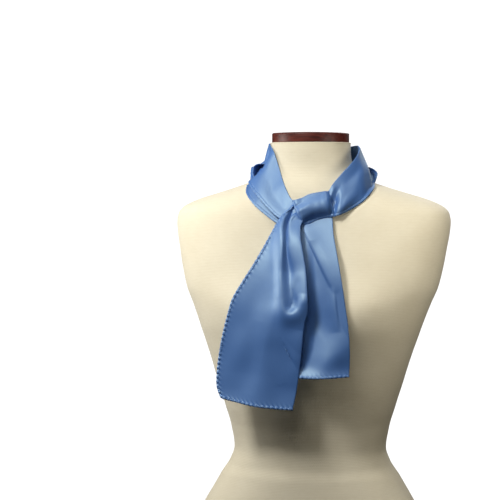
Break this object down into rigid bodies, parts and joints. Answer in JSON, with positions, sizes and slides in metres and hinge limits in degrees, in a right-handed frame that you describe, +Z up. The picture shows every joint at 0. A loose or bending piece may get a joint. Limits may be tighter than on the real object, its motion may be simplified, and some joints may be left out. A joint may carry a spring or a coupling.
{
  "type": "satin scarf on dress form",
  "caption": "Satin scarf folded lengthwise and worn in a half knot with two hanging tails, on a limbless padded dress form with a turned wooden neck cap.",
  "frame": {"origin": "centre of the dress form's flat base, on the surface it rests on", "axes": "+Z up along the form, -Y towards its front, -X towards the viewer's left"},
  "size_m": [0.396, 0.2401, 0.8],
  "materials": {
    "satin": "blue satin, smooth with a soft sheen",
    "jersey": "cream knit jersey, matt",
    "mahogany": "dark red varnished"
  },
  "bodies": {
    "root": {"neck_left": "satin", "neck_back": "satin", "neck_right": "satin", "knot_wrap": "satin", "knot_pass": "satin", "knot_tuck": "satin", "front_tail": "satin", "back_tail": "satin", "form_torso": "jersey", "neck_cap": "mahogany"}
  },
  "joints": []
}
